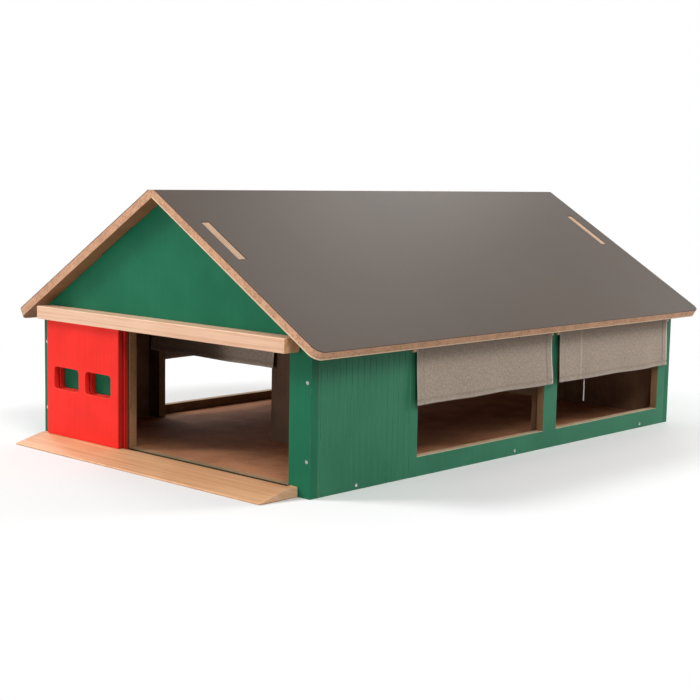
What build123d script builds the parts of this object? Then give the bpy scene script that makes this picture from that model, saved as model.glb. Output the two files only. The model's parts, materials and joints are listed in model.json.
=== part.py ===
from build123d import *
from math import cos, pi, radians, sin, tan
import os

# Toy cow stable: a wooden barn with a lift-off gable roof, two sliding doors in front of a machine bay,
# and open side windows with cloth curtains. Millimetres. +X runs from the door end to the back end,
# +Z is up. The origin is the centre of the footprint on the ground, and y = 0 is under the ridge.

# Body and boards
body_length = 600.0
body_width = 395.0
wall_height = 138.0        # outer face of a side wall, up to the underside of the roof
board = 9.0                # thickness of every wall and of the floor
floor_top = 9.0
fit_gap = 0.3              # running gap between a moving piece and its neighbour

# Roof
roof_pitch = 31.3          # degrees
roof_board = 8.2
laminate = 0.8
overhang_front = 17.0
overhang_back = 21.0
overhang_eave = 24.6       # from a side wall's outer face to the roof's outer top edge
eave_corner_radius = 10.0
ridge_flat = 5.0           # half width of the planed flat on the ridge
ridge_gap = 0.2            # from the middle to each roof half
tab_from_ridge = 61.0      # down the slope, from the sharp ridge line to the tab
tab_length = 60.0
tab_below_surface = 0.2
slot_gap = 0.5

# Door opening, in the front panel
opening_near_side = 27.0   # width of the strip left between the opening and the near side
opening_width = 224.5

# Lintel beam and entrance ramp, in front of the front panel
beam_depth = 19.5
beam_height = 13.4
beam_drop = 9.0            # from the wall height down to the underside of the beam
beam_end_margin = 14.5     # from the side of the stable to the end of the beam and the ramp
track_end = 9.0            # wood left at each end of a door track
ramp_depth = 46.4
landing_depth = 15.0
landing_height = 9.6
ramp_lip = 1.8
inner_track_depth = 2.0
beam_track_depth = 7.5

# Sliding doors
door_width = 118.6
door_thickness = 5.5
door_lift = 2.7            # room above a door in its beam track
track_gap = 0.5            # each side of a door in its track
panel_to_inner_door = 0.6
inner_to_outer_door = 2.0
door_window_width = 42.0
door_window_height = 23.0
door_window_bottom = 58.2
door_window_margin = 12.0
door_window_radius = 4.5
door_edge = 0.5

# Side windows: two in each side wall, with a wide front pier and two narrow ones
front_pier = 144.2         # from the outside of the front panel to the first window
front_window_length = 204.5
middle_pier = 23.4
rear_pier = 24.5
window_sill = 19.0
window_drop = 24.0         # from the wall height down to the top of the windows
plank_groove_first = 12.3
plank_groove_pitch = 8.0
plank_groove_side = 1.0    # side of the square cutter, turned on its corner

# Posts behind the piers between the windows
pier_post_width = 16.0
pier_post_depth = 9.6

# Cross wall between the machine bay and the stalls
cross_wall_to_window = 2.2
cross_wall_drop = 2.0      # from the wall height down to its top edge
gateway_far_margin = 18.0
gateway_width = 180.0
gateway_lintel = 20.0      # height of the cross wall above the gateway

# Curtains and what they are tacked to
batten_thickness = 3.0
batten_drop = 8.0          # from the wall height down to the top of a batten
batten_height = 10.0
batten_overlap = 4.0       # beyond the curtain, at each end
curtain_overlaps = ((7.2, 5.3), (3.1, 9.5))    # beyond the front and the back of each side window
curtain_hang = 50.4
curtain_thickness = 0.6
curtain_wave = 0.5
curtain_wave_length = 54.0
cross_curtain_hang = 34.1
cross_curtain_overlap = 8.0
tack_head_radius = 1.1
tack_head_height = 0.7
tack_head_gap = 0.7        # room for the cloth under a tack's head
tack_shank_radius = 0.5
tack_length = 8.0
tack_above_edge = 2.0      # from a batten's lower edge
tack_count = 5
tack_end_margin = 6.0

# Pull cord, sewn behind the hem of the rear near curtain: points from its top down
cord_diameter = 1.3
cord_from_curtain_start = 50.2
cord_above_hem = 5.9
cord_steps = ((0.0, 0.0), (0.3, 5.0), (0.7, 10.5), (0.85, 16.5), (0.9, 22.0), (0.88, 27.0), (0.8, 31.0))

# Wood screws
screw_head_radius = 1.7
screw_head_depth = 1.1
screw_shank_radius = 0.9
screw_length = 20.0
screw_hole_gap = 0.05
wall_screw_low = 33.0
wall_screw_drop = 35.0     # from the wall height down to the upper screws
floor_screw_margin = 60.0
back_screw_margin = 77.5
beam_screw_spacing = 110.0
beam_screw_count = 4
beam_screw_length = 18.0

# Derived sizes
total_length = ramp_depth + body_length + overhang_back
front_x = ramp_depth - total_length / 2
back_x = front_x + body_length
half = body_width / 2
inside = half - board
slope = tan(radians(roof_pitch))
slope_cos = cos(radians(roof_pitch))
slope_sin = sin(radians(roof_pitch))
roof_thickness = roof_board + laminate
apex_under = wall_height + half * slope
apex_top = apex_under + roof_thickness / slope_cos
flat_height = apex_top - ridge_flat * slope
roof_start = front_x - overhang_front
roof_length = overhang_front + body_length + overhang_back
roof_middle_x = roof_start + roof_length / 2
eave_v = -(half + overhang_eave - roof_thickness * slope_sin) / slope_cos
tab_top_v = roof_thickness * slope_sin / slope_cos - tab_from_ridge
tab_bottom_v = tab_top_v - tab_length
tab_height = roof_thickness - tab_below_surface
beam_bottom = wall_height - beam_drop
beam_length = body_width - 2 * beam_end_margin
track_length = beam_length - 2 * track_end
opening_low_y = -half + opening_near_side
opening_high_y = opening_low_y + opening_width
inner_door_x = front_x - panel_to_inner_door - door_thickness
outer_door_x = inner_door_x - inner_to_outer_door - door_thickness
door_rest_y = track_length / 2 - track_gap - door_width
outer_door_bottom = landing_height + fit_gap
inner_door_bottom = landing_height - inner_track_depth + fit_gap
door_top = beam_bottom + beam_track_depth - door_lift
beam_screw_height = beam_bottom + (beam_track_depth + beam_height) / 2
rear_window_start = front_pier + front_window_length + middle_pier
rear_window_length = body_length - rear_pier - rear_window_start
windows = ((front_pier, front_window_length), (rear_window_start, rear_window_length))
window_top = wall_height - window_drop
window_middle_z = (window_sill + window_top) / 2
window_height = window_top - window_sill
pier_middle = rear_window_start - middle_pier / 2
side_curtains = [(start - before, before + length + after)
                 for (start, length), (before, after) in zip(windows, curtain_overlaps)]
plank_groove_count = int((side_curtains[0][0] - plank_groove_first) / plank_groove_pitch) + 1
cross_x = front_x + front_pier - cross_wall_to_window - board
cross_wall_top = wall_height - cross_wall_drop
gateway_top = cross_wall_top - gateway_lintel
gateway_high_y = inside - gateway_far_margin
gateway_low_y = gateway_high_y - gateway_width
cross_curtain_start = gateway_low_y - cross_curtain_overlap
cross_curtain_length = gateway_width + 2 * cross_curtain_overlap
batten_bottom = wall_height - batten_drop - batten_height
curtain_top = batten_bottom - fit_gap
curtain_bottom = curtain_top - curtain_hang
cross_curtain_bottom = curtain_top - cross_curtain_hang
tack_height = batten_bottom + tack_above_edge
wall_screw_heights = (wall_screw_low, wall_height - wall_screw_drop)
floor_screw_starts = (floor_screw_margin, body_length / 2, body_length - floor_screw_margin)
back_floor_screws = (back_screw_margin - half, 0, half - back_screw_margin)
sides = (("near", -1), ("far", 1))

os.makedirs("parts", exist_ok=True)


def finish(part, label):
    """Name a finished piece and write it."""
    part.label = label
    export_step(part, f"parts/{label}.step")


def slope_point(side, v, height):
    """A point (y, z) v up the slope from the apex, and height above the roof's underside."""
    y = side * (height * slope_sin - v * slope_cos)
    return (y, apex_under + v * slope_sin + height * slope_cos)


def cross_plane(x):
    """A plane across the stable at x, with y and z as its own axes and +x as its normal."""
    return Plane(origin=(x, 0, 0), x_dir=(0, 1, 0), z_dir=(1, 0, 0))


def slope_plane(side, height):
    """A plane on one roof slope, height above the underside, with its own y running up the slope."""
    normal = (0, side * slope_sin, slope_cos)
    origin = (0, side * height * slope_sin, apex_under + height * slope_cos)
    return Plane(origin=origin, x_dir=(-side, 0, 0), z_dir=normal)


def wood_screw(length, gap=0.0, mode=Mode.ADD):
    """A countersunk screw, or with a gap and Mode.SUBTRACT its hole, driven along the location's z."""
    Cone(screw_head_radius + gap, screw_shank_radius + gap, screw_head_depth,
         align=(Align.CENTER, Align.CENTER, Align.MIN), mode=mode)
    Cylinder(screw_shank_radius + gap, length, align=(Align.CENTER, Align.CENTER, Align.MIN), mode=mode)


def tack_hole(depth):
    """The hole of a curtain tack's shank, along the location's z."""
    Cylinder(tack_shank_radius + screw_hole_gap, depth,
             align=(Align.CENTER, Align.CENTER, Align.MIN), mode=Mode.SUBTRACT)


def curtain_face_line(start, length, offset):
    """One long edge of a curtain seen from above: shallow waves from start, at a distance from the wall."""
    waves = round(length / curtain_wave_length)
    step = length / waves
    for index in range(waves):
        bulge = curtain_wave if index % 2 else -curtain_wave
        x = start + index * step
        ThreePointArc((x, offset), (x + step / 2, offset + bulge), (x + step, offset))


# Where the screws start, and which way they are driven
front_screw_spots = [Plane(origin=(front_x, side * (half - board / 2), z), x_dir=(0, 1, 0), z_dir=(1, 0, 0))
                     for side in (-1, 1) for z in wall_screw_heights]
back_screw_spots = [Plane(origin=(back_x, side * (half - board / 2), z), x_dir=(0, 1, 0), z_dir=(-1, 0, 0))
                    for side in (-1, 1) for z in wall_screw_heights]
back_screw_spots += [Plane(origin=(back_x, y, floor_top / 2), x_dir=(0, 1, 0), z_dir=(-1, 0, 0))
                     for y in back_floor_screws]
floor_screw_spots = {side: [Plane(origin=(front_x + x, side * half, floor_top / 2), x_dir=(1, 0, 0),
                                  z_dir=(0, -side, 0)) for x in floor_screw_starts] for side in (-1, 1)}
beam_screw_spots = [Plane(origin=(front_x + board, (index - (beam_screw_count - 1) / 2) * beam_screw_spacing,
                                  beam_screw_height), x_dir=(0, 1, 0), z_dir=(-1, 0, 0))
                    for index in range(beam_screw_count)]


def tack_xs(start, length):
    """Evenly spaced tack positions along a curtain."""
    step = (length - 2 * tack_end_margin) / (tack_count - 1)
    return [start + tack_end_margin + index * step for index in range(tack_count)]


side_tack_spots = {side: [Plane(origin=(front_x + x, side * (half + batten_thickness), tack_height),
                                x_dir=(1, 0, 0), z_dir=(0, -side, 0))
                          for start, length in side_curtains
                          for x in tack_xs(start, length)] for side in (-1, 1)}
cross_tack_spots = [Plane(origin=(cross_x - batten_thickness, y, tack_height), x_dir=(0, 1, 0),
                          z_dir=(1, 0, 0)) for y in tack_xs(cross_curtain_start, cross_curtain_length)]

# Floor
with BuildPart() as floor_panel:
    with BuildSketch(Plane.XY):
        with Locations((front_x + body_length / 2, 0)):
            Rectangle(body_length - 2 * board, body_width - 2 * board)
    extrude(amount=floor_top)
    for side in (-1, 1):
        with Locations(*floor_screw_spots[side]):
            wood_screw(screw_length, screw_hole_gap, Mode.SUBTRACT)
    with Locations(*back_screw_spots):
        wood_screw(screw_length, screw_hole_gap, Mode.SUBTRACT)
finish(floor_panel.part, "floor_panel")

# Gable panels, with the tabs that the roof halves drop over
gable_outline = [(-half, 0), (half, 0), (half, wall_height)]
for side in (1, -1):
    tab = [slope_point(side, tab_bottom_v, 0), slope_point(side, tab_bottom_v, tab_height),
           slope_point(side, tab_top_v, tab_height), slope_point(side, tab_top_v, 0)]
    gable_outline += tab if side == 1 else tab[::-1]
    if side == 1:
        gable_outline.append((0, apex_under))
gable_outline.append((-half, wall_height))

with BuildPart() as front_gable_panel:
    with BuildSketch(cross_plane(front_x)):
        with BuildLine():
            Polyline(*gable_outline, close=True)
        make_face()
        with Locations(((opening_low_y + opening_high_y) / 2, (floor_top + beam_bottom) / 2)):
            Rectangle(opening_width, beam_bottom - floor_top, mode=Mode.SUBTRACT)
    extrude(amount=board)
    with Locations(*front_screw_spots):
        wood_screw(screw_length, screw_hole_gap, Mode.SUBTRACT)
    with Locations(*beam_screw_spots):
        wood_screw(beam_screw_length, screw_hole_gap, Mode.SUBTRACT)
finish(front_gable_panel.part, "front_gable_panel")

with BuildPart() as back_gable_panel:
    with BuildSketch(cross_plane(back_x - board)):
        with BuildLine():
            Polyline(*gable_outline, close=True)
        make_face()
    extrude(amount=board)
    with Locations(*back_screw_spots):
        wood_screw(screw_length, screw_hole_gap, Mode.SUBTRACT)
finish(back_gable_panel.part, "back_gable_panel")

# Cross wall with its gateway on the far side
with BuildPart() as inner_cross_wall:
    with BuildSketch(cross_plane(cross_x)):
        with Locations((0, (floor_top + cross_wall_top) / 2)):
            Rectangle(2 * inside, cross_wall_top - floor_top)
        with Locations(((gateway_low_y + gateway_high_y) / 2, (floor_top + gateway_top) / 2)):
            Rectangle(gateway_width, gateway_top - floor_top, mode=Mode.SUBTRACT)
    extrude(amount=board)
    with Locations(*cross_tack_spots):
        tack_hole(tack_length)
finish(inner_cross_wall.part, "inner_cross_wall")

# Side walls, their pier posts, and the two halves of the roof
for name, side in sides:
    with BuildPart() as side_wall:
        with BuildSketch(cross_plane(front_x + board)):
            with BuildLine():
                Polyline((side * half, 0), (side * inside, 0), (side * inside, wall_height + board * slope),
                         (side * half, wall_height), close=True)
            make_face()
        extrude(amount=body_length - 2 * board)
        for start, length in windows:
            with Locations((front_x + start + length / 2, side * half, window_middle_z)):
                Box(length, 3 * board, window_height, mode=Mode.SUBTRACT)
        grooves = [Location((front_x + plank_groove_first + index * plank_groove_pitch, side * half, 0),
                            (0, 0, 45)) for index in range(plank_groove_count)]
        with Locations(*grooves):
            Box(plank_groove_side, plank_groove_side, 2 * wall_height,
                align=(Align.CENTER, Align.CENTER, Align.MIN), mode=Mode.SUBTRACT)
        with Locations(*front_screw_spots, *back_screw_spots, *floor_screw_spots[side]):
            wood_screw(screw_length, screw_hole_gap, Mode.SUBTRACT)
        with Locations(*side_tack_spots[side]):
            tack_hole(tack_length)
    finish(side_wall.part, f"{name}_side_wall")

    with BuildPart() as pier_post:
        with Locations((front_x + pier_middle, side * (inside - pier_post_depth / 2), floor_top)):
            Box(pier_post_width, pier_post_depth, wall_height - floor_top,
                align=(Align.CENTER, Align.CENTER, Align.MIN))
    finish(pier_post.part, f"{name}_pier_post")

    for layer, height, thickness in (("panel", 0.0, roof_board), ("laminate", roof_board, laminate)):
        with BuildPart() as roof_layer:
            with BuildSketch(slope_plane(side, height)):
                with Locations((-side * roof_middle_x, 0)):
                    Rectangle(roof_length, -2 * eave_v)
                corners = vertices().group_by(Axis.Y)[0]
                fillet(corners, eave_corner_radius)
                for gable_x in (front_x + board / 2, back_x - board / 2):
                    with Locations((-side * gable_x, (tab_top_v + tab_bottom_v) / 2)):
                        Rectangle(board + 2 * slot_gap, tab_length + 2 * slot_gap, mode=Mode.SUBTRACT)
            extrude(amount=thickness)
            with Locations((roof_middle_x, side * ridge_gap, apex_under)):
                Box(2 * roof_length, 2 * body_width, 2 * body_width, mode=Mode.SUBTRACT,
                    align=(Align.CENTER, Align.MIN if side < 0 else Align.MAX, Align.CENTER))
            with Locations((roof_middle_x, 0, flat_height)):
                Box(2 * roof_length, 2 * body_width, body_width,
                    align=(Align.CENTER, Align.CENTER, Align.MIN), mode=Mode.SUBTRACT)
        finish(roof_layer.part, f"roof_{layer}_{name}")

# Entrance ramp, with the inner door's track along its back edge
with BuildPart() as entrance_ramp:
    with BuildSketch(Plane.XZ.offset(-beam_length / 2)):
        with BuildLine():
            Polyline((front_x, 0), (front_x - ramp_depth, 0), (front_x - ramp_depth, ramp_lip),
                     (front_x - landing_depth, landing_height), (front_x, landing_height), close=True)
        make_face()
    extrude(amount=beam_length)
    with Locations((front_x, 0, landing_height)):
        Box(2 * (panel_to_inner_door + door_thickness + track_gap), track_length, 2 * inner_track_depth,
            mode=Mode.SUBTRACT)
finish(entrance_ramp.part, "entrance_ramp")

# Lintel beam with two door tracks
with BuildPart() as door_beam:
    with Locations((front_x, 0, beam_bottom)):
        Box(beam_depth, beam_length, beam_height, align=(Align.MAX, Align.CENTER, Align.MIN))
    with Locations((front_x, 0, beam_bottom)):
        Box(2 * (panel_to_inner_door + door_thickness + track_gap), track_length, 2 * beam_track_depth,
            mode=Mode.SUBTRACT)
    with Locations((outer_door_x + door_thickness / 2, 0, beam_bottom)):
        Box(door_thickness + 2 * track_gap, track_length, 2 * beam_track_depth, mode=Mode.SUBTRACT)
    with Locations(*beam_screw_spots):
        wood_screw(beam_screw_length, screw_hole_gap, Mode.SUBTRACT)
finish(door_beam.part, "door_beam")

# Sliding doors, both pushed to the far side
for name, door_x, bottom in (("inner", inner_door_x, inner_door_bottom),
                             ("outer", outer_door_x, outer_door_bottom)):
    with BuildPart() as sliding_door:
        with BuildSketch(cross_plane(door_x)):
            with Locations((door_rest_y + door_width / 2, (bottom + door_top) / 2)):
                Rectangle(door_width, door_top - bottom)
            for window_y in (door_rest_y + door_window_margin + door_window_width / 2,
                             door_rest_y + door_width - door_window_margin - door_window_width / 2):
                with Locations((window_y, door_window_bottom + door_window_height / 2)):
                    RectangleRounded(door_window_width, door_window_height, door_window_radius,
                                     mode=Mode.SUBTRACT)
        extrude(amount=door_thickness)
        chamfer(edges().filter_by(Axis.Z).group_by(SortBy.LENGTH)[-1], door_edge)
    finish(sliding_door.part, f"{name}_sliding_door")

# Curtain battens, tacks and curtains on the side walls
for name, side in sides:
    for place, (start, length) in zip(("front", "rear"), side_curtains):
        with BuildPart() as batten:
            batten_y = side * (half + batten_thickness / 2)
            with Locations((front_x + start + length / 2, batten_y, batten_bottom)):
                Box(length + 2 * batten_overlap, batten_thickness, batten_height,
                    align=(Align.CENTER, Align.CENTER, Align.MIN))
            with Locations(*side_tack_spots[side]):
                tack_hole(tack_length)
        finish(batten.part, f"curtain_batten_{name}_{place}")

        with BuildPart() as curtain:
            with BuildSketch(Plane.XY.offset(curtain_bottom)):
                with BuildLine():
                    cloth_back = side * (half + batten_thickness)
                    cloth_front = cloth_back + side * curtain_thickness
                    front_end = front_x + start
                    curtain_face_line(front_end, length, cloth_back)
                    curtain_face_line(front_end, length, cloth_front)
                    for end in (front_end, front_end + length):
                        Line((end, cloth_back), (end, cloth_front))
                make_face()
            extrude(amount=curtain_hang)
        finish(curtain.part, f"curtain_{name}_{place}")

    with BuildPart() as curtain_tacks:
        with Locations(*side_tack_spots[side]):
            Cylinder(tack_shank_radius, tack_length, align=(Align.CENTER, Align.CENTER, Align.MIN))
            Cylinder(tack_shank_radius, tack_head_gap, align=(Align.CENTER, Align.CENTER, Align.MAX))
        with Locations(*[spot.offset(-tack_head_gap) for spot in side_tack_spots[side]]):
            Cylinder(tack_head_radius, tack_head_height, align=(Align.CENTER, Align.CENTER, Align.MAX))
    finish(curtain_tacks.part, f"curtain_tacks_{name}")

    with BuildPart() as floor_screws:
        with Locations(*floor_screw_spots[side]):
            wood_screw(screw_length)
    finish(floor_screws.part, f"{name}_floor_screws")

# Curtain over the gateway of the cross wall
with BuildPart() as cross_curtain_batten:
    with Locations((cross_x - batten_thickness / 2, cross_curtain_start + cross_curtain_length / 2,
                    batten_bottom)):
        Box(batten_thickness, cross_curtain_length, batten_height,
            align=(Align.CENTER, Align.CENTER, Align.MIN))
    with Locations(*cross_tack_spots):
        tack_hole(tack_length)
finish(cross_curtain_batten.part, "curtain_batten_gateway")

with BuildPart() as cross_curtain:
    curtain_plane = Plane(origin=(cross_x, 0, cross_curtain_bottom), x_dir=(0, 1, 0), z_dir=(0, 0, 1))
    with BuildSketch(curtain_plane):
        with BuildLine():
            cloth_back = batten_thickness
            cloth_front = cloth_back + curtain_thickness
            curtain_face_line(cross_curtain_start, cross_curtain_length, cloth_back)
            curtain_face_line(cross_curtain_start, cross_curtain_length, cloth_front)
            for end in (cross_curtain_start, cross_curtain_start + cross_curtain_length):
                Line((end, cloth_back), (end, cloth_front))
        make_face()
    extrude(amount=cross_curtain_hang)
finish(cross_curtain.part, "curtain_gateway")

with BuildPart() as cross_tacks:
    with Locations(*cross_tack_spots):
        Cylinder(tack_shank_radius, tack_length, align=(Align.CENTER, Align.CENTER, Align.MIN))
        Cylinder(tack_shank_radius, tack_head_gap, align=(Align.CENTER, Align.CENTER, Align.MAX))
    with Locations(*[spot.offset(-tack_head_gap) for spot in cross_tack_spots]):
        Cylinder(tack_head_radius, tack_head_height, align=(Align.CENTER, Align.CENTER, Align.MAX))
finish(cross_tacks.part, "curtain_tacks_gateway")

# Pull cord, hanging behind the hem of the rear near curtain
cord_x = front_x + side_curtains[1][0] + cord_from_curtain_start
cord_y = -(half + batten_thickness - curtain_wave - fit_gap - cord_diameter / 2)
cord_top = curtain_bottom + cord_above_hem
cord_points = [(cord_x + across, cord_y, cord_top - down) for across, down in cord_steps]
cord_radii = []
for before, corner, after in zip(cord_points, cord_points[1:], cord_points[2:]):
    arriving = Vector(*corner) - Vector(*before)
    leaving = Vector(*after) - Vector(*corner)
    shorter = min(arriving.length, leaving.length)
    cord_radii.append(0.45 * shorter / tan(radians(arriving.get_angle(leaving)) / 2))
with BuildPart() as curtain_pull_cord:
    with BuildLine() as cord_line:
        FilletPolyline(*cord_points, radius=cord_radii)
    cord_path = cord_line.wires()[0]
    with BuildSketch(Plane(origin=cord_path @ 0, z_dir=cord_path % 0)):
        Circle(cord_diameter / 2)
    sweep()
finish(curtain_pull_cord.part, "curtain_pull_cord")
cord_length = cord_path.length
cord_volume = pi * (cord_diameter / 2) ** 2 * cord_length
print("cord length", round(cord_length, 2), "radii", [round(radius, 1) for radius in cord_radii],
      "volume ratio", round(curtain_pull_cord.part.volume / cord_volume, 4))

# Screws
for label, spots, length in (("front_panel_screws", front_screw_spots, screw_length),
                             ("back_panel_screws", back_screw_spots, screw_length),
                             ("beam_screws", beam_screw_spots, beam_screw_length)):
    with BuildPart() as screws:
        with Locations(*spots):
            wood_screw(length)
    finish(screws.part, label)
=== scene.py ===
"""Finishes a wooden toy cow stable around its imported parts: worked boards, paint, cloth, cord and stage.

Metres. +X runs from the door end to the back end, -Y is the near side, +Z is up.
"""

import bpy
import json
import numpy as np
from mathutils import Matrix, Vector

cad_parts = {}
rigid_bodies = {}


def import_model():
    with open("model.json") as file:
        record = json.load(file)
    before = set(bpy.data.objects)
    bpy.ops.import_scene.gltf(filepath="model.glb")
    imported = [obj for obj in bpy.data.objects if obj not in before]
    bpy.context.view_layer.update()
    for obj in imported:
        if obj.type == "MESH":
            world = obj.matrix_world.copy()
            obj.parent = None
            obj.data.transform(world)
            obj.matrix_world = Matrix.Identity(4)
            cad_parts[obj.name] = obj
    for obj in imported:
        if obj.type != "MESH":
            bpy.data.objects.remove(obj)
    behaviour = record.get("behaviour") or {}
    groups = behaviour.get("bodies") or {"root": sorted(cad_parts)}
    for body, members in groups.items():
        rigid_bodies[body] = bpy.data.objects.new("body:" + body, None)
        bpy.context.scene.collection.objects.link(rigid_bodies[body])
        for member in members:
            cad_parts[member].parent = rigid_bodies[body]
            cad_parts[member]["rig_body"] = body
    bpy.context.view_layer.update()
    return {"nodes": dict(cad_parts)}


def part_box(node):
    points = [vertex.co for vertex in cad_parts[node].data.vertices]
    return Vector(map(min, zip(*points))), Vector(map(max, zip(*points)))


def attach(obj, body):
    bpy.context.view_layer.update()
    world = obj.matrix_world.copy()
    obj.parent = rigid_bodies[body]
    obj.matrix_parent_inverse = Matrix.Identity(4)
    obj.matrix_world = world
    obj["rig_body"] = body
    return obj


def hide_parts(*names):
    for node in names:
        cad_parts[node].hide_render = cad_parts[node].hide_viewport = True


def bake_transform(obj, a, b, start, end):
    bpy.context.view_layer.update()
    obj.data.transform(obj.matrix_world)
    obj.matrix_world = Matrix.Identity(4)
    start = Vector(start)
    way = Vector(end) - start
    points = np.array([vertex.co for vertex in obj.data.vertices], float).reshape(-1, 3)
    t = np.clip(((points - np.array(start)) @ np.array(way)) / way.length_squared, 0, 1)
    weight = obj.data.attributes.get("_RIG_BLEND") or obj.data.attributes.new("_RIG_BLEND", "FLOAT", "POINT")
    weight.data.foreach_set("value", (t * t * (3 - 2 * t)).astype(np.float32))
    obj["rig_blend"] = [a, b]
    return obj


bl_info = {
    "name": "Toy cow stable",
    "version": (1, 0, 0),
    "blender": (4, 5, 0),
    "location": "View3D > Sidebar > Stable",
    "description": "Finishes the boards, cloth and fixings of a wooden toy cow stable",
    "category": "Object",
}

import json
from math import cos, exp, pi, radians, sin

import bmesh
import bpy
from bpy.props import FloatProperty, FloatVectorProperty, IntProperty, PointerProperty
from mathutils import Matrix, Vector

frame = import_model()

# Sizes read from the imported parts
GABLE_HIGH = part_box("front_gable_panel")[1]
HALF_WIDTH = GABLE_HIGH.y
APEX_UNDER = GABLE_HIGH.z
WALL_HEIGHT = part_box("near_pier_post")[1].z
TREAD_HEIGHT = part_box("floor_panel")[1].z
BATTEN_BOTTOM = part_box("curtain_batten_gateway")[0].z
ROOF_SLOPE = (APEX_UNDER - WALL_HEIGHT) / HALF_WIDTH
SLOPE_COS = 1 / (1 + ROOF_SLOPE**2) ** 0.5
SLOPE_SIN = ROOF_SLOPE * SLOPE_COS

OUTWARD = {"near": (0, -1, 0), "far": (0, 1, 0), "front": (-1, 0, 0), "back": (1, 0, 0)}


# Choices in the sidebar

def shade(red, green, blue):
    """A colour given as 8-bit display values, as the linear values that a shader takes."""
    return tuple((value / 255 / 12.92) if value <= 10 else ((value / 255 + 0.055) / 1.055) ** 2.4
                 for value in (red, green, blue))


def colour_choice(name, description, *display_values):
    """A colour that a user can change."""
    return FloatVectorProperty(name=name, description=description, subtype="COLOR", size=3,
                               min=0.0, max=1.0, default=shade(*display_values))


def length_choice(name, description, default, low, high):
    """A length that a user can change."""
    return FloatProperty(name=name, description=description, unit="LENGTH", default=default,
                         min=low, max=high)


class StableColours(bpy.types.PropertyGroup):
    """Colours of the stable's paints, boards and cloth."""

    green: colour_choice("Green paint", "Paint of the gable panels", 18, 104, 73)
    # Painted light: the side walls' green is a lighter copy of the gables' green, so the sides look more
    # brightly lit
    side_green: colour_choice("Green paint at the sides", "Paint of the side walls", 48, 116, 86)
    # Arris colours: partly worn paint, partly painted highlight along the edges
    green_wear_and_highlight: colour_choice("Green wear and highlight", "Where the green paint has thinned on an arris", 80, 118, 92)
    red: colour_choice("Red paint", "Paint of the sliding doors", 245, 42, 32)
    red_wear_and_highlight: colour_choice("Red wear and highlight", "Where the red paint has thinned on an arris", 246, 118, 106)
    laminate: colour_choice("Roof laminate", "Top skin of the roof boards", 78, 65, 55)
    bare: colour_choice("Bare board", "Inner faces of the walls", 152, 118, 90)
    bare_dark: colour_choice("Bare board fibres", "Darker fibres in the bare board", 110, 82, 60)
    tread: colour_choice("Floor board", "The stable's floor", 204, 144, 102)
    tread_dark: colour_choice("Floor board streaks", "Darker streaks in the floor", 150, 92, 64)
    cut: colour_choice("Cut edge", "Sawn edges of the wall boards", 168, 130, 92)
    cut_dark: colour_choice("Cut edge fibres", "Darker fibres in the sawn edges", 120, 90, 60)
    roof_cut: colour_choice("Roof edge", "Sawn edges of the roof boards", 214, 165, 131)
    roof_cut_dark: colour_choice("Roof edge fibres", "Darker fibres in the roof's edges", 158, 114, 86)
    beam: colour_choice("Pale pine", "Lintel beam and battens", 236, 196, 166)
    beam_dark: colour_choice("Pale pine late wood", "Darker lines in the pale pine", 214, 164, 130)
    ramp: colour_choice("Warm pine", "Entrance ramp", 226, 176, 132)
    ramp_dark: colour_choice("Warm pine late wood", "Darker lines in the warm pine", 202, 144, 102)
    cloth: colour_choice("Curtain cloth", "Woven curtains", 165, 149, 134)
    # The hem colour also makes the painted highlight along the cloth's outer edges
    cloth_pale: colour_choice("Curtain hem", "Hems and pressed creases", 196, 182, 168)
    cord: colour_choice("Pull cord", "Twisted string", 236, 226, 222)


class StableSizes(bpy.types.PropertyGroup):
    """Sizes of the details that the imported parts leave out."""

    arris: length_choice("Arris", "Rounding along a sawn board's edges", 0.0005, 0.0001, 0.002)
    planed_arris: length_choice("Planed arris", "Rounding along the beam and ramp", 0.0008, 0.0001, 0.002)
    door_arris: length_choice("Door arris", "Rounding along the doors' edges", 0.00025, 0.0001, 0.0003)
    arris_steps: IntProperty(name="Arris steps", description="Facets in each rounding", default=2,
                             min=1, max=6)
    cloth_thickness: length_choice("Cloth", "Thickness of one layer of cloth", 0.0003, 0.0002, 0.0003)
    hem_height: length_choice("Hem", "Height of the turned-up hem", 0.0055, 0.002, 0.02)
    side_hem: length_choice("Side hem", "Width of the hems at the sides", 0.0105, 0.002, 0.02)
    over_batten: length_choice("Over batten", "Cloth above a batten's lower edge", 0.006, 0.004, 0.009)
    twist: length_choice("Cord twist", "Length of one turn of a strand", 0.0045, 0.002, 0.01)


def colours():
    """The colours in use."""
    return bpy.context.scene.stable_colours


def sizes():
    """The sizes in use."""
    return bpy.context.scene.stable_sizes


# Shader nodes

def add_node(tree, kind, inputs=None, **settings):
    """A node with its settings. Each input is a value, or a socket that is linked."""
    made = tree.nodes.new(kind)
    for key, value in settings.items():
        setattr(made, key, value)
    for key, value in (inputs or {}).items():
        if isinstance(value, bpy.types.NodeSocket):
            tree.links.new(value, made.inputs[key])
        else:
            made.inputs[key].default_value = value
    return made


def calculate(tree, operation, *values):
    """The result of one math operation on values or sockets."""
    return add_node(tree, "ShaderNodeMath", dict(enumerate(values)), operation=operation).outputs[0]


def weighted_sum(tree, *terms):
    """The sum of several sockets, each times its weight."""
    total = 0.0
    for socket, weight in terms:
        total = calculate(tree, "MULTIPLY_ADD", socket, weight, total)
    return total


def ramp_between(tree, value, low, high, start=0.0, end=1.0):
    """A value mapped from low..high to start..end, smoothly and clamped."""
    return add_node(tree, "ShaderNodeMapRange", {0: value, 1: low, 2: high, 3: start, 4: end},
                    interpolation_type="SMOOTHSTEP").outputs[0]


def blend_colours(tree, factor, first, second):
    """The first colour where the factor is 0, the second where it is 1."""
    values = {0: factor}
    for socket, colour in ((6, first), (7, second)):
        values[socket] = colour if isinstance(colour, bpy.types.NodeSocket) else (*colour, 1.0)
    return add_node(tree, "ShaderNodeMix", values, data_type="RGBA").outputs[2]


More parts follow.
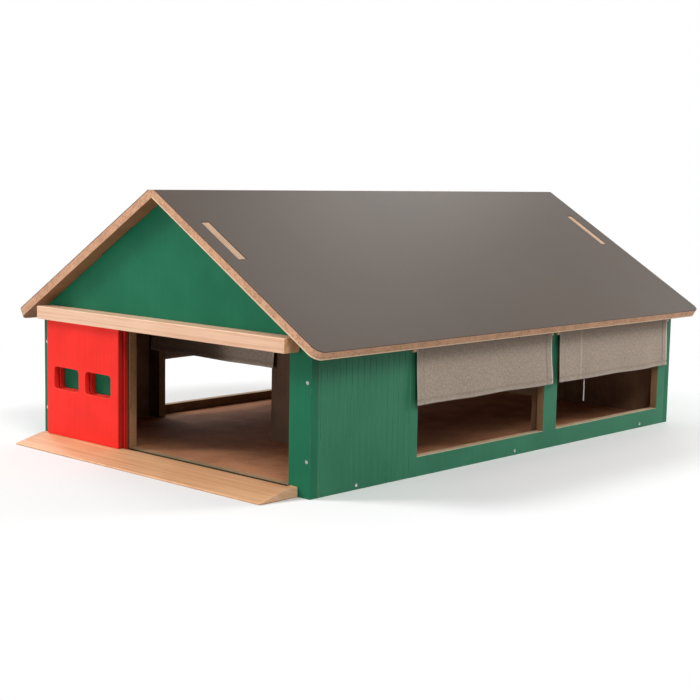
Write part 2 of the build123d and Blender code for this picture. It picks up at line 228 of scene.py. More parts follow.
def stretched(tree, vector, scale):
    """The vector multiplied by scale along each axis."""
    return add_node(tree, "ShaderNodeVectorMath", {0: vector, 1: scale}, operation="MULTIPLY").outputs[0]


def split(tree, vector):
    """The X, Y and Z of a vector."""
    return add_node(tree, "ShaderNodeSeparateXYZ", {0: vector}).outputs


def attribute(tree, name):
    """A value stored on the piece's own mesh."""
    return add_node(tree, "ShaderNodeAttribute", attribute_name=name).outputs["Fac"]


def noise(tree, vector, scale=1.0, detail=2.0, roughness=0.5):
    """Noise between 0 and 1."""
    return add_node(tree, "ShaderNodeTexNoise",
                    {"Vector": vector, "Scale": scale, "Detail": detail, "Roughness": roughness}).outputs[0]


def seen_directly(tree):
    """1 for rays from the camera, off gloss or through glass."""
    path = tree.nodes.new("ShaderNodeLightPath").outputs
    return calculate(tree, "MAXIMUM", path["Is Camera Ray"],
                     calculate(tree, "MAXIMUM", path["Is Glossy Ray"], path["Is Transmission Ray"]))


# Shared effects. Each function fills a node group from its inputs and says what the group puts out.

STITCH_LENGTH = 0.0013


def wood_grain(tree, given):
    """Growth lines and fibres along a vector that is already stretched along the grain."""
    rings = noise(tree, given["Vector"], scale=0.16, detail=1.5)
    lines = calculate(tree, "PINGPONG", calculate(tree, "MULTIPLY", rings, 13.0), 1.0)
    return {"Lines": ramp_between(tree, lines, 0.1, 0.95),
            "Fibres": noise(tree, given["Vector"], scale=1.7, detail=5.0, roughness=0.62)}


def cloudiness(tree, given):
    """Broad uneven tone, with a size in metres."""
    scale = calculate(tree, "DIVIDE", 1.0, given["Size"])
    return {"Tone": ramp_between(tree, noise(tree, given["Vector"], scale, 3.0), 0.3, 0.7)}


def edge_wear_and_highlight_group(tree, given):
    """Where an arris is lighter: partly worn paint or polish, partly a painted highlight along the edge."""
    patches = ramp_between(tree, noise(tree, given["Vector"], 90.0, 4.0), 0.36, 0.6, 0.25, 1.0)
    patchy_arris = calculate(tree, "MULTIPLY", attribute(tree, "arris"), patches)
    return {"Mask": calculate(tree, "MULTIPLY", patchy_arris, given["Amount"])}


def stitching(tree, given):
    """A row of stitches at a distance from the cloth's edge, and the dent of the whole seam."""
    off = calculate(tree, "ABSOLUTE", calculate(tree, "SUBTRACT", given["From edge"], given["Seam"]))
    near = ramp_between(tree, off, 0.0001, 0.00045, 1.0, 0.0)
    dash = calculate(tree, "PINGPONG", given["Along"], STITCH_LENGTH)
    return {"Thread": calculate(tree, "MULTIPLY", near, ramp_between(tree, dash, 0.0002, 0.0005)),
            "Dent": ramp_between(tree, off, 0.0003, 0.0013, 1.0, 0.0)}


GROUPS = {
    "wood grain": (wood_grain, ("Vector",)),
    "cloudiness": (cloudiness, ("Vector", "Size")),
    "arris wear and highlight": (edge_wear_and_highlight_group, ("Vector", "Amount")),
    "stitching": (stitching, ("From edge", "Along", "Seam")),
}


def new_group(name):
    """A node group with its named sockets, filled by its function."""
    fill, inputs = GROUPS[name]
    tree = bpy.data.node_groups.new(name, "ShaderNodeTree")
    for label in inputs:
        kind = "NodeSocketVector" if label == "Vector" else "NodeSocketFloat"
        tree.interface.new_socket(label, in_out="INPUT", socket_type=kind)
    outputs = fill(tree, tree.nodes.new("NodeGroupInput").outputs)
    for label in outputs:
        tree.interface.new_socket(label, in_out="OUTPUT", socket_type="NodeSocketFloat")
    result = tree.nodes.new("NodeGroupOutput")
    for label, socket in outputs.items():
        tree.links.new(socket, result.inputs[label])
    return tree


def use_group(tree, name, inputs):
    """One of the shared groups placed in a material, built at its first use."""
    group = bpy.data.node_groups.get(name) or new_group(name)
    return add_node(tree, "ShaderNodeGroup", inputs, node_tree=group).outputs


GRAIN_FINE = 520.0             # scale of the grain across a board
GRAIN_LONG = 9.0               # and along it


def grain_along(tree, place, axis):
    """Wood grain that runs in long lines along an axis."""
    scale = [GRAIN_FINE] * 3
    scale["XYZ".index(axis)] = GRAIN_LONG
    return use_group(tree, "wood grain", {"Vector": stretched(tree, place, tuple(scale))})


def clouds(tree, place, size):
    """Broad uneven tone in patches of a size."""
    return use_group(tree, "cloudiness", {"Vector": place, "Size": size})["Tone"]


def arris_wear_and_highlight(tree, place, amount):
    """Where an arris is lighter, partly from wear and partly as a painted highlight, by up to the amount."""
    return use_group(tree, "arris wear and highlight", {"Vector": place, "Amount": amount})["Mask"]


# Materials

# Painted shade: the dark tone laid on the front panel's faces down in the door track
TRACK_SHADE = shade(44, 46, 24)
TRACK_HALF_LENGTH = 0.174      # of the doors' tracks in the beam and the ramp
TRACK_SHOWS = 0.0002           # paint above the tread's level that still lies in the track's shade
ROOF_SKIN = shade(236, 212, 178)
# Roof board arrises lighter: partly worn edge, partly painted highlight
ROOF_WORN_AND_HIGHLIGHT = shade(226, 186, 156)
ROOF_SKIN_DEPTH = (0.0011, 0.0015)     # where the skin under the roof ends, softly
THREAD_PITCH = 0.0007          # from one thread of the cloth to the next
SEAM_INSET = 0.0008            # from a hem's inner edge to its stitches


def new_material(name, **settings):
    """A material, its tree, its shader, and its object coordinates."""
    material = bpy.data.materials.new(name)
    material.use_nodes = True
    tree = material.node_tree
    shader = tree.nodes["Principled BSDF"]
    for key, value in settings.items():
        shader.inputs[key.replace("_", " ")].default_value = value
    place = tree.nodes.new("ShaderNodeTexCoord").outputs["Object"]
    return material, tree, shader, place


def add_relief(tree, shader, height, distance):
    """Bump from a height between 0 and 1, distance metres deep."""
    bump = add_node(tree, "ShaderNodeBump", {"Height": height, "Distance": distance})
    tree.links.new(bump.outputs[0], shader.inputs["Normal"])


def tinted(colour, amount):
    """The colour made darker or lighter by a factor."""
    return tuple(min(1.0, value * amount) for value in colour)


def paint(name, colour, worn_and_highlight_colour, axis, roughness, highlight_and_wear_amount, shade_mask=None):
    """Satin paint on board, with the grain just telling through, and painted shade where the shade mask is
    1.
    """
    material, tree, shader, place = new_material(name, Specular_IOR_Level=0.14)
    fibres = grain_along(tree, place, axis)["Fibres"]
    streaks = weighted_sum(tree, (fibres, 0.75), (clouds(tree, place, 0.055), 0.35))
    light = tuple(min(1.0, value * 1.06 + 0.004) for value in colour)
    base = blend_colours(tree, ramp_between(tree, streaks, 0.25, 0.85), tinted(colour, 0.9), light)
    # Lighter arrises: partly worn paint, partly painted highlight
    base = blend_colours(tree, arris_wear_and_highlight(tree, place, highlight_and_wear_amount), base, worn_and_highlight_colour)
    # Painted shade: darkened where the mask is 1
    if shade_mask:
        base = blend_colours(tree, shade_mask(tree, place), base, TRACK_SHADE)
    tree.links.new(base, shader.inputs["Base Color"])
    tree.links.new(ramp_between(tree, fibres, 0.2, 0.8, roughness - 0.05, roughness + 0.07),
                   shader.inputs["Roughness"])
    add_relief(tree, shader, fibres, 0.00004)
    return material


def bare_board(name, light, dark, axis, roughness=0.72):
    """Unpainted board with short fibres and a few darker flecks."""
    material, tree, shader, place = new_material(name, Roughness=roughness, Specular_IOR_Level=0.3)
    flecks = ramp_between(tree, noise(tree, place, 1400.0, 3.0), 0.42, 0.66)
    mixed = weighted_sum(tree, (grain_along(tree, place, axis)["Fibres"], 0.6),
                         (clouds(tree, place, 0.03), 0.22), (flecks, 0.25))
    base = blend_colours(tree, ramp_between(tree, mixed, 0.2, 0.85), light, dark)
    # Lighter arrises: partly wear, partly painted highlight
    tree.links.new(blend_colours(tree, arris_wear_and_highlight(tree, place, 0.35), base, light), shader.inputs["Base Color"])
    add_relief(tree, shader, mixed, 0.00008)
    return material


def pine_wood(name, axis, pale, dark):
    """Planed softwood with growth lines along the axis."""
    material, tree, shader, place = new_material(name, Roughness=0.5, Specular_IOR_Level=0.3)
    grain = grain_along(tree, place, axis)
    lines = weighted_sum(tree, (grain["Lines"], 0.24), (grain["Fibres"], 0.62),
                         (clouds(tree, place, 0.07), 0.2))
    base = blend_colours(tree, ramp_between(tree, lines, 0.25, 0.9), pale, dark)
    # Lighter arrises: partly wear, partly painted highlight
    base = blend_colours(tree, arris_wear_and_highlight(tree, place, 0.7), base, tinted(pale, 1.14))
    tree.links.new(base, shader.inputs["Base Color"])
    add_relief(tree, shader, grain["Fibres"], 0.00006)
    return material


def pine_end(name, pale, dark):
    """Sawn end of a pine stick: close pores and a few arcs of late wood."""
    material, tree, shader, place = new_material(name, Roughness=0.7, Specular_IOR_Level=0.2)
    arcs = calculate(tree, "SINE", calculate(tree, "MULTIPLY", noise(tree, place, 26.0, 1.0), 70.0))
    pores = noise(tree, place, 1500.0, 2.0)
    mixed = weighted_sum(tree, (arcs, 0.13), (pores, 1.0))
    base = blend_colours(tree, ramp_between(tree, mixed, 0.3, 0.8), pale, dark)
    # Lighter arrises: partly wear, partly painted highlight
    tree.links.new(blend_colours(tree, arris_wear_and_highlight(tree, place, 0.4), base, pale), shader.inputs["Base Color"])
    add_relief(tree, shader, pores, 0.00008)
    return material


def height_over_underside(tree, place):
    """How far a point lies above the underside of its roof slope, in metres."""
    parts = split(tree, place)
    level = weighted_sum(tree, (calculate(tree, "ABSOLUTE", parts["Y"]), SLOPE_SIN),
                         (parts["Z"], SLOPE_COS))
    return calculate(tree, "SUBTRACT", level, APEX_UNDER * SLOPE_COS)


def roof_edge(name):
    """Sawn edges of the roof boards: pinkish speckled core, and a pale skin under the near half."""
    material, tree, shader, place = new_material(name, Roughness=0.68, Specular_IOR_Level=0.25)
    grain = use_group(tree, "wood grain", {"Vector": stretched(tree, place, (160.0, 160.0, 900.0))})
    flecks = ramp_between(tree, noise(tree, place, 620.0, 3.0), 0.42, 0.68)
    mixed = weighted_sum(tree, (grain["Fibres"], 0.45), (flecks, 0.3), (clouds(tree, place, 0.012), 0.2))
    look = colours()
    base = blend_colours(tree, ramp_between(tree, mixed, 0.15, 0.9), look.roof_cut, look.roof_cut_dark)
    near = calculate(tree, "LESS_THAN", split(tree, place)["Y"], 0.0)
    low = ramp_between(tree, height_over_underside(tree, place), *ROOF_SKIN_DEPTH, 0.85, 0.0)
    base = blend_colours(tree, calculate(tree, "MULTIPLY", near, low), base, ROOF_SKIN)
    # Lighter arrises: partly wear, partly painted highlight
    base = blend_colours(tree, arris_wear_and_highlight(tree, place, 0.8), base, ROOF_WORN_AND_HIGHLIGHT)
    tree.links.new(base, shader.inputs["Base Color"])
    add_relief(tree, shader, mixed, 0.0001)
    return material


def roof_laminate(name):
    """Matt grey-brown laminate with a fine print and a slight sheen."""
    material, tree, shader, place = new_material(name, Specular_IOR_Level=0.15)
    print_tone = noise(tree, stretched(tree, place, (260.0, 900.0, 900.0)), 1.0, 4.0, 0.6)
    mixed = weighted_sum(tree, (print_tone, 0.7), (clouds(tree, place, 0.16), 0.3))
    grey = colours().laminate
    base = blend_colours(tree, ramp_between(tree, mixed, 0.2, 0.8), tinted(grey, 0.93), tinted(grey, 1.07))
    tree.links.new(base, shader.inputs["Base Color"])
    tree.links.new(ramp_between(tree, print_tone, 0.2, 0.8, 0.4, 0.48), shader.inputs["Roughness"])
    add_relief(tree, shader, print_tone, 0.00002)
    return material


def curtain_cloth(name):
    """Plain weave with hems stitched at both sides and along the bottom, and a painted highlight along its
    outer edges, laid out on the cloth's UV map.
    """
    material, tree, shader, _place = new_material(name, Roughness=0.95, Specular_IOR_Level=0.15,
                                                  Sheen_Weight=0.08, Sheen_Roughness=0.5)
    flat = add_node(tree, "ShaderNodeUVMap", uv_map="flat").outputs[0]
    across, up = split(tree, flat)[:2]
    from_side = attribute(tree, "from side")
    bottom = use_group(tree, "stitching", {"From edge": up, "Along": across,
                                           "Seam": sizes().hem_height - SEAM_INSET})
    side = use_group(tree, "stitching", {"From edge": from_side, "Along": up,
                                         "Seam": sizes().side_hem - SEAM_INSET})
    dent = calculate(tree, "MAXIMUM", bottom["Dent"], side["Dent"])
    thread = calculate(tree, "MAXIMUM", bottom["Thread"], side["Thread"])

    warp, weft = (calculate(tree, "SINE", calculate(tree, "MULTIPLY", part, 2 * pi / THREAD_PITCH))
                  for part in (across, up))
    slubs, slubs_up = (noise(tree, stretched(tree, flat, scale), 1.0, 3.0)
                       for scale in ((160.0, 1500.0, 1.0), (1500.0, 160.0, 1.0)))
    tone = weighted_sum(tree, (slubs, 0.3), (slubs_up, 0.3), (noise(tree, flat, 430.0, 2.0), 0.4),
                        (calculate(tree, "MULTIPLY", warp, weft), 0.1))
    plain = colours().cloth
    base = blend_colours(tree, ramp_between(tree, tone, 0.34, 0.66), tinted(plain, 0.74),
                         tinted(plain, 1.2))

    # Painted highlight: paler within a few millimetres of the cloth's outer edges, where the folded edge
    # catches the light
    edge = ramp_between(tree, calculate(tree, "MINIMUM", up, from_side), 0.0005, 0.0026, 0.9, 0.0)
    crease = calculate(tree, "MULTIPLY", attribute(tree, "crease"), 0.6)
    pale = calculate(tree, "MAXIMUM", calculate(tree, "MAXIMUM", edge, crease),
                     calculate(tree, "MULTIPLY", thread, 0.5))
    base = blend_colours(tree, pale, base, colours().cloth_pale)
    shadowed = weighted_sum(tree, (dent, 0.8), (thread, -0.8))
    tree.links.new(blend_colours(tree, shadowed, base, tinted(plain, 0.55)), shader.inputs["Base Color"])
    add_relief(tree, shader, weighted_sum(tree, (tone, 0.6), (dent, -0.8)), 0.00025)
    return material


def twisted_string(name):
    """White string with soft fibres along each strand."""
    material, tree, shader, place = new_material(name, Roughness=0.85, Sheen_Weight=0.3)
    fuzz = noise(tree, place, 2600.0, 3.0)
    white = colours().cord
    base = blend_colours(tree, ramp_between(tree, fuzz, 0.3, 0.7), tinted(white, 0.84), white)
    tree.links.new(base, shader.inputs["Base Color"])
    add_relief(tree, shader, fuzz, 0.00005)
    return material


def zinc(name, dull, bright):
    """Zinc plate with fine turning marks and a few dull patches."""
    material, tree, shader, place = new_material(name, Metallic=1.0)
    patches = clouds(tree, place, 0.0014)
    tree.links.new(blend_colours(tree, patches, dull, bright), shader.inputs["Base Color"])
    tree.links.new(ramp_between(tree, patches, 0.0, 1.0, 0.22, 0.42), shader.inputs["Roughness"])
    add_relief(tree, shader, noise(tree, place, 3200.0, 2.0), 0.00002)
    return material


def behind_track(tree, place):
    """The strip of the front panel that shows above the door track in the ramp, darkened with painted shade.
    """
    parts = split(tree, place)
    low = calculate(tree, "LESS_THAN", parts["Z"], TREAD_HEIGHT + TRACK_SHOWS)
    inside = calculate(tree, "LESS_THAN", calculate(tree, "ABSOLUTE", parts["Y"]), TRACK_HALF_LENGTH)
    return calculate(tree, "MULTIPLY", low, inside)


def finish(name):
    """One of the stable's finishes, made at its first use."""
    look = colours()
    make, *settings = {
        "green paint": (paint, look.green, look.green_wear_and_highlight, "Z", 0.46, 0.55),
        # green paint with painted shade on the strip down in the door track
        "green paint in front": (paint, look.green, look.green_wear_and_highlight, "Z", 0.46, 0.55, behind_track),
        # Painted light: lighter copy of the green for the side walls
        "green paint at the sides": (paint, look.side_green, look.green_wear_and_highlight, "Z", 0.46, 0.55),
        # Painted light: paler than the side walls' green, to lift the shade in the plank grooves
        "groove paint": (bare_board, shade(70, 143, 108), shade(62, 124, 94), "Z"),
        # painted shade on the faces down in the door track
        "track paint": (bare_board, TRACK_SHADE, shade(24, 24, 12), "Y"),      # in the shade of the door track
        "red paint": (paint, look.red, look.red_wear_and_highlight, "Z", 0.4, 0.6),
        # Painted shade: a darker copy of the red paint for the doors' upright edges, which lie in the shade
        # between the doors
        "red paint on edges": (paint, shade(188, 42, 34), look.red_wear_and_highlight, "Z", 0.55, 0.4),
        "bare wall board": (bare_board, look.bare, look.bare_dark, "Z"),
        # Painted shade: a darker copy of the bare wall board for the cross wall, which stands in shade
        # behind the doorway
        "inner wall board": (bare_board, shade(104, 78, 58), shade(70, 52, 38), "Z"),
        "cut edge": (bare_board, look.cut, look.cut_dark, "Z", 0.7),
        # Painted light: a paler copy of the cut edge for the sills' upward faces, which catch more light
        "window sill": (bare_board, shade(214, 190, 158), shade(168, 138, 104), "X"),
        "tab end": (bare_board, shade(210, 176, 148), shade(184, 146, 116), "Z"),
        "threshold": (bare_board, shade(178, 142, 108), shade(120, 106, 76), "Y"),
        "floor board": (bare_board, look.tread, look.tread_dark, "X"),
        "bare roof board": (bare_board, shade(172, 124, 88), shade(136, 94, 64), "X"),
        "roof edge": (roof_edge,),
        "roof laminate": (roof_laminate,),
        "pale pine across": (pine_wood, "Y", look.beam, look.beam_dark),
        "pale pine along": (pine_wood, "X", look.beam, look.beam_dark),
        "pale pine end": (pine_end, look.ramp, look.ramp_dark),
        "warm pine": (pine_wood, "Y", look.ramp, look.ramp_dark),
        "warm pine end": (pine_end, shade(236, 192, 156), look.ramp),
        "curtain cloth": (curtain_cloth,),
        "white string": (twisted_string,),
        "bright zinc": (zinc, shade(150, 154, 152), shade(200, 204, 202)),
        # Painted shade: a darker copy of the zinc for the tacks, which sit in the shade under the eave
        "dull tack": (zinc, shade(120, 112, 108), shade(164, 152, 146)),
    }[name]
    return bpy.data.materials.get(name) or make(name, *settings)


# Meshes

MERGE_DISTANCE = 1e-6
FLUSH_ANGLE = radians(0.5)     # faces that meet at less than this are joined
SHARP_ANGLE = radians(50)      # edges sharper than this get an arris
FLAT_ANGLE = radians(30)       # faces that meet at more than this are shaded flat
SHORTEST_ARRIS = 0.004         # shorter edges belong to screw holes and stay as they are
TOUCHING = 1e-5                # places closer than this are the same


def merged_copy(node):
    """A CAD node's mesh with its doubles merged and its flat faces joined."""
    work = bmesh.new()
    work.from_mesh(frame["nodes"][node].data)
    bmesh.ops.remove_doubles(work, verts=work.verts, dist=MERGE_DISTANCE)
    bmesh.ops.dissolve_limit(work, angle_limit=FLUSH_ANGLE, verts=work.verts, edges=work.edges)
    return work


def new_object(name, work, materials):
    """An object in the scene with the mesh of a bmesh."""
    mesh = bpy.data.meshes.new(name)
    work.to_mesh(mesh)
    work.free()
    for material in materials:
        mesh.materials.append(material)
    made = bpy.data.objects.new(name, mesh)
    bpy.context.scene.collection.objects.link(made)
    return made


def finished_piece(name, work, finishes, body, node):
    """An object from a bmesh that rides on a body and stands for a node."""
    piece = new_object(name, work, [finish(item) for item in finishes])
    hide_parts(node)
    if body:
        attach(piece, body)
    return piece


def worked_board(node, finishes, choose, arris, may_round=None, shortest=SHORTEST_ARRIS):
    """A board remade from its node, with a small arris along its long sharp edges.

    From a face's normal and its middle, choose gives the number of its finish.
    """
    work = merged_copy(node)
    layer = work.faces.layers.float.new("arris")
    work.normal_update()
    sharp = [edge for edge in work.edges
             if edge.is_manifold and edge.calc_length() > shortest
             and edge.calc_face_angle_signed() > SHARP_ANGLE and (may_round is None or may_round(edge))]
    rounded = bmesh.ops.bevel(work, geom=sharp, offset=arris, segments=sizes().arris_steps, profile=0.5,
                              affect="EDGES", material=-1)["faces"]
    work.normal_update()
    for face in rounded:
        if 2 * face.calc_area() < arris * face.calc_perimeter():
            face[layer] = 1.0
    for face in work.faces:
        face.smooth = True
        face.material_index = choose(face.normal, face.calc_center_median())
    for edge in work.edges:
        same = edge.is_manifold and edge.link_faces[0][layer] == edge.link_faces[1][layer]
        limit = SHARP_ANGLE if edge.link_faces[0][layer] else FLAT_ANGLE
        edge.smooth = same and edge.calc_face_angle() < limit
    piece = finished_piece(f"{node}_finished", work, finishes, frame["nodes"][node]["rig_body"], node)
    # The node's own normals come along and don't fit the new faces
    piece.data.attributes.remove(piece.data.attributes["custom_normal"])


def dress_node(node, name):
    """Give a finish to a CAD node that stays as it is."""
    piece = frame["nodes"][node]
    piece.data.materials.clear()
    piece.data.materials.append(finish(name))


def turned_to(axis):
    """The rotation that takes +Z to the axis."""
    return Vector(axis).to_track_quat("Z", "X").to_matrix().to_4x4()


# Stage

LAMPS = (                      # name, place, width and watts
    ("right lamp", (2.0, -1.0, 0.8), 0.8, 34.0),
    ("side lamp", (-0.9, -1.6, 1.6), 0.8, 19.0),
    ("front lamp", (-1.6, 1.4, 1.8), 0.9, 39.0),
    ("door lamp", (-2.4, 0.0, 0.25), 0.5, 12.0),
    ("sheen lamp", (3.0, 1.6, 2.1), 0.9, 16.0),
    ("back lamp", (2.4, 0.3, 0.5), 0.8, 6.0),
    ("far lamp", (0.3, 2.4, 1.35), 0.8, 14.0),
)
LIT_POINT = Vector((0, 0, 0.1))
WORLD_LIGHT = 0.22
FLOOR_REACH = 30.0
FLOOR_WHITE = 0.97
FLOOR_BOUNCE = 0.5             # how pale the floor is to the light that it throws back on the stable
FLOOR_FADE = (0.36, 0.85)      # how far from the middle the floor turns to pure white

CAMERA_PLACE = (-1.1546, -1.0493, 0.2849)
CAMERA_HEADING = radians(42.93)    # from +X towards +Y
CAMERA_DOWN = radians(7.124)
CAMERA_ROLL = radians(1.092)
CAMERA_LENS = 72.94                # millimetres
CAMERA_SENSOR = 36.0


class STABLE_OT_stage(bpy.types.Operator):
    """Make the floor, the soft lights and the camera"""

    bl_idname = "stable.stage"
    bl_label = "Stage"

    def execute(self, context):
        make_floor()
        make_world()
        for row in LAMPS:
            make_lamp(*row)
        make_camera()
        context.scene.view_settings.view_transform = "Standard"
        return {"FINISHED"}


def make_floor():
    """A wide pale floor that fades to white away from the stable."""
    material, tree, shader, place = new_material("studio floor", Roughness=0.9)
    seen = seen_directly(tree)
    pale = blend_colours(tree, seen, (FLOOR_BOUNCE,) * 3, (FLOOR_WHITE,) * 3)
    tree.links.new(pale, shader.inputs["Base Color"])
    radius = add_node(tree, "ShaderNodeVectorMath", {0: place}, operation="LENGTH").outputs["Value"]
    far = calculate(tree, "MULTIPLY", seen, ramp_between(tree, radius, *FLOOR_FADE))
    glow = add_node(tree, "ShaderNodeEmission", {"Color": (1.0, 1.0, 1.0, 1.0), "Strength": 1.0})
    mixed = add_node(tree, "ShaderNodeMixShader", {0: far, 1: shader.outputs[0], 2: glow.outputs[0]})
    tree.links.new(mixed.outputs[0], tree.nodes["Material Output"].inputs["Surface"])

    work = bmesh.new()
    bmesh.ops.create_grid(work, x_segments=1, y_segments=1, size=FLOOR_REACH)
    new_object("studio_floor", work, [material])


def make_world():
    """A white surround that lights the stable evenly."""
    world = bpy.context.scene.world or bpy.data.worlds.new("studio")
    bpy.context.scene.world = world
    world.use_nodes = True
    tree = world.node_tree
    back = tree.nodes["Background"]
    back.inputs["Color"].default_value = (1.0, 1.0, 1.0, 1.0)
    strength = ramp_between(tree, seen_directly(tree), 0.0, 1.0, WORLD_LIGHT, 1.0)
    tree.links.new(strength, back.inputs["Strength"])


def make_lamp(name, place, width, watts):
    """A soft square lamp turned towards the stable."""
    data = bpy.data.lights.new(name, "AREA")
    data.shape = "SQUARE"
    data.size = width
    data.energy = watts
    lamp = bpy.data.objects.new(name, data)
    lamp.location = place
    lamp.rotation_euler = (LIT_POINT - Vector(place)).to_track_quat("-Z", "Y").to_euler()
    bpy.context.scene.collection.objects.link(lamp)


def make_camera():
    """The camera at the photograph's viewing angle."""
    data = bpy.data.cameras.new("photo camera")
    data.sensor_width = CAMERA_SENSOR
    data.lens = CAMERA_LENS
    data.clip_start = 0.05
    data.clip_end = 100.0
    camera = bpy.data.objects.new("photo camera", data)
    bpy.context.scene.collection.objects.link(camera)
    turn = (Matrix.Rotation(CAMERA_HEADING - pi / 2, 4, "Z") @ Matrix.Rotation(pi / 2 - CAMERA_DOWN, 4, "X")
            @ Matrix.Rotation(CAMERA_ROLL, 4, "Z"))
    camera.matrix_world = Matrix.Translation(CAMERA_PLACE) @ turn
    bpy.context.scene.camera = camera


# Pull cord

CORD_PLACE = (0.1319, -0.19905, 0.0752)    # its top, behind the hem
CORD_STEPS = ((0.0, 0.0), (0.0003, 0.005), (0.0007, 0.0105), (0.00085, 0.0165), (0.0009, 0.022),
              (0.00088, 0.027), (0.0008, 0.031))       # backwards and down, as far as its bare end
CORD_DIAMETER = 0.0013
STRANDS = 3


class STABLE_OT_pull_cord(bpy.types.Operator):
    """Make the twisted pull cord of the rear curtain on the near side"""

    bl_idname = "stable.pull_cord"
    bl_label = "Pull cord"

    def execute(self, context):
        line = cord_line()
        strand_radius = CORD_DIAMETER / 2 / (1 + 2 / 3**0.5)
        circle_radius = CORD_DIAMETER / 2 - strand_radius
        work = bmesh.new()
        for strand in range(STRANDS):
            add_strand(work, line, 2 * pi * strand / STRANDS, circle_radius, strand_radius)
        bmesh.ops.recalc_face_normals(work, faces=work.faces)
        piece = finished_piece("pull_cord", work, ["white string"], "near_rear_curtain",
                               "curtain_pull_cord")
        piece.data.shade_smooth()
        return {"FINISHED"}


def cord_line():
    """Points along the smooth line of the cord's route."""
    curve = bpy.data.curves.new("cord route", "CURVE")
    curve.dimensions = "3D"
    curve.resolution_u = 12
    spline = curve.splines.new("NURBS")
    spline.points.add(len(CORD_STEPS) - 1)
    for point, (across, down) in zip(spline.points, CORD_STEPS):
        point.co = (CORD_PLACE[0] + across, CORD_PLACE[1], CORD_PLACE[2] - down, 1.0)
    spline.order_u = 3
    spline.use_endpoint_u = True
    route = bpy.data.objects.new("cord route", curve)
    bpy.context.scene.collection.objects.link(route)
    bpy.context.view_layer.update()
    mesh = bpy.data.meshes.new_from_object(route)
    line = [vertex.co.copy() for vertex in mesh.vertices]
    bpy.data.objects.remove(route)
    bpy.data.curves.remove(curve)
    bpy.data.meshes.remove(mesh)
    return line


def add_strand(work, line, start_turn, circle_radius, strand_radius):
    """One strand wound round the line, as a tube with closed ends."""
    rings = []
    travelled = 0.0
    for index, point in enumerate(line):
        before, after = line[max(index - 1, 0)], line[min(index + 1, len(line) - 1)]
        travelled += (point - before).length
        ahead = (after - before).normalized()
        turn = start_turn + 2 * pi * travelled / sizes().twist
        side = Vector((1, 0, 0)).cross(ahead).normalized()
        centre = point + (side * cos(turn) + ahead.cross(side) * sin(turn)) * circle_radius
        made = bmesh.ops.create_circle(work, cap_ends=False, segments=8, radius=strand_radius,
                                       matrix=Matrix.Translation(centre) @ turned_to(ahead))
        rings.append(made["verts"])
    for first, second in zip(rings, rings[1:]):
        edges = [edge for ring in (first, second) for edge in work.edges
                 if edge.verts[0] in ring and edge.verts[1] in ring]
        bmesh.ops.bridge_loops(work, edges=edges)
    for ring in (rings[0], rings[-1]):
        bmesh.ops.contextual_create(work, geom=ring)


# Walls

WALL_FINISHES = ("bare wall board", "cut edge", "threshold", "track paint", "tab end", "groove paint",
                 "window sill")
PAINTED, BARE, CUT, THRESHOLD, TRACK, TAB, GROOVE, SILL = range(1 + len(WALL_FINISHES))
FACING = 0.6                   # a face looks along an axis when its normal has this much of it
FACING_UP, LEVEL = 0.3, 0.9    # the same for a face that leans upwards, and for one that lies flat
FACING_SLOPE = 0.8             # the same for a roof board's two broad faces
UPRIGHT = 0.5                  # a face is upright when its normal has less than this of Z
SHARP_SHARE = 0.9              # edges of a side wall this tall, as a share of its height, stay sharp
PAINT_DEPTH = 0.0012           # grooves this deep are still painted
GROOVE_LIP = 0.00005
DOORWAY_MARGIN = 0.01          # the doorway lies at least this far in from the panel's sides
TAB_RISE = 0.003               # higher than this over the roof's underside is a tab
SILL_HEIGHT = 0.019


class STABLE_OT_walls(bpy.types.Operator):
    """Finish the green gable panels and side walls"""

    bl_idname = "stable.walls"
    bl_label = "Painted walls"

    def execute(self, context):
        arris = sizes().arris
        for node, coat, outward in (("front_gable_panel", "green paint in front", -1),
                                    ("back_gable_panel", "green paint", 1)):
            worked_board(node, [coat, *WALL_FINISHES], gable_faces(outward), arris)
        for node, outward in (("near_side_wall", -1), ("far_side_wall", 1)):
            # The side walls take the lighter green, painted light
            worked_board(node, ["green paint at the sides", *WALL_FINISHES],
                         side_wall_faces(outward), arris, shorter_than_groove)
        return {"FINISHED"}


def shorter_than_groove(edge):
    """Whether an edge is too short to be the sharp edge of a plank groove."""
    run = edge.verts[1].co - edge.verts[0].co
    return abs(run.z) < SHARP_SHARE * WALL_HEIGHT


def gable_faces(outward):
    """Gable panels are painted outside and on their two upright outer edges."""

    def choose(normal, place):
        if (place.z < TREAD_HEIGHT + PAINT_DEPTH and normal.z > FACING_UP
                and abs(place.y) < HALF_WIDTH - DOORWAY_MARGIN):
            # Faces down in the door track get painted shade
            return THRESHOLD if normal.z > LEVEL else TRACK
        if place.z + ROOF_SLOPE * abs(place.y) > APEX_UNDER + TAB_RISE:
            return TAB
        at_side = abs(place.y) > HALF_WIDTH - PAINT_DEPTH and place.z < WALL_HEIGHT
        if normal.x * outward > FACING or (abs(normal.y) > FACING and at_side):
            return PAINTED
        return BARE if normal.x * outward < -FACING else CUT

    return choose


def side_wall_faces(outward):
    """Side walls are painted outside, and their grooves get a paler green as painted light."""

    def choose(normal, place):
        # Groove faces get the paler green, painted light against the grooves' shade
        if HALF_WIDTH - PAINT_DEPTH < abs(place.y) < HALF_WIDTH - GROOVE_LIP and abs(normal.z) < UPRIGHT:
            return GROOVE
        # Upward faces at sill height get the paler edge tone, painted light
        if normal.z > FACING_UP and abs(place.z - SILL_HEIGHT) < PAINT_DEPTH:
            return SILL
        if normal.y * outward > FACING and abs(place.y) > HALF_WIDTH - PAINT_DEPTH:
            return PAINTED
        return BARE if normal.y * outward < -FACING else CUT

    return choose


# Floor, inner wall, roof, beam, ramp, battens and doors

